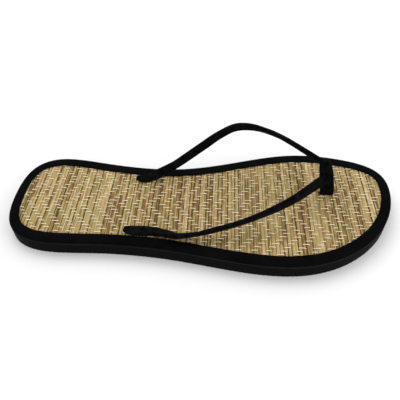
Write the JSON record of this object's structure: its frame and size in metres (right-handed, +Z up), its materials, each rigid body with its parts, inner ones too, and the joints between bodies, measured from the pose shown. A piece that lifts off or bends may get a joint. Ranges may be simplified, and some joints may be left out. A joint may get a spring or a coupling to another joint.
{
  "type": "thong sandal",
  "caption": "Right-foot thong sandal with a woven straw footbed, black cloth rim, dark foam outsole and slim black straps to a toe post",
  "frame": {"origin": "under the middle of the sole, on the floor", "axes": "+X to the toes, +Y to the big-toe side, +Z up"},
  "size_m": [0.2652, 0.1026, 0.0491],
  "materials": {
    "foam": "matt dark grey foam, finely ribbed across underneath",
    "straw": "woven straw strips of mixed tan, green and brown tones with cream cotton threads",
    "binding_cloth": "black cloth tape with a low sheen",
    "strap_cloth": "black napped cloth over a soft flat core"
  },
  "bodies": {
    "root": {"outsole": "foam", "straw_insole": "straw", "rim_binding": "binding_cloth", "thong_upper": "strap_cloth"}
  },
  "joints": []
}
